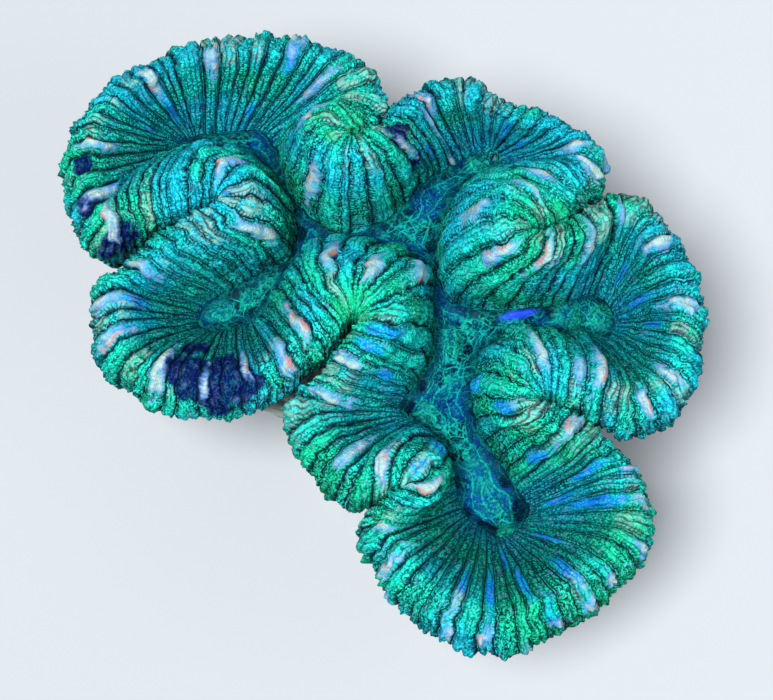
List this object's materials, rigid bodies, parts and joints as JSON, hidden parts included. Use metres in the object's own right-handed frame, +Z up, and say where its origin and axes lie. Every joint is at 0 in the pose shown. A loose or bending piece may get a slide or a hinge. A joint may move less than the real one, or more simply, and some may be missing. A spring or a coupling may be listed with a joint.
{
  "type": "brain coral",
  "caption": "Small free-standing brain coral with a ridged, folded and lobed fleshy margin around a winding sunken valley, on a short flat-cut stony foot.",
  "frame": {"origin": "on the flat cut under the stony foot, below the middle of the coral", "axes": "+Z up from the flat cut, -Y towards the viewer of the picture, +X to the viewer's right"},
  "size_m": [0.0558, 0.0557, 0.0329],
  "materials": {
    "flesh": "moist satin"
  },
  "bodies": {
    "root": {"brain_coral": "flesh"}
  },
  "joints": []
}
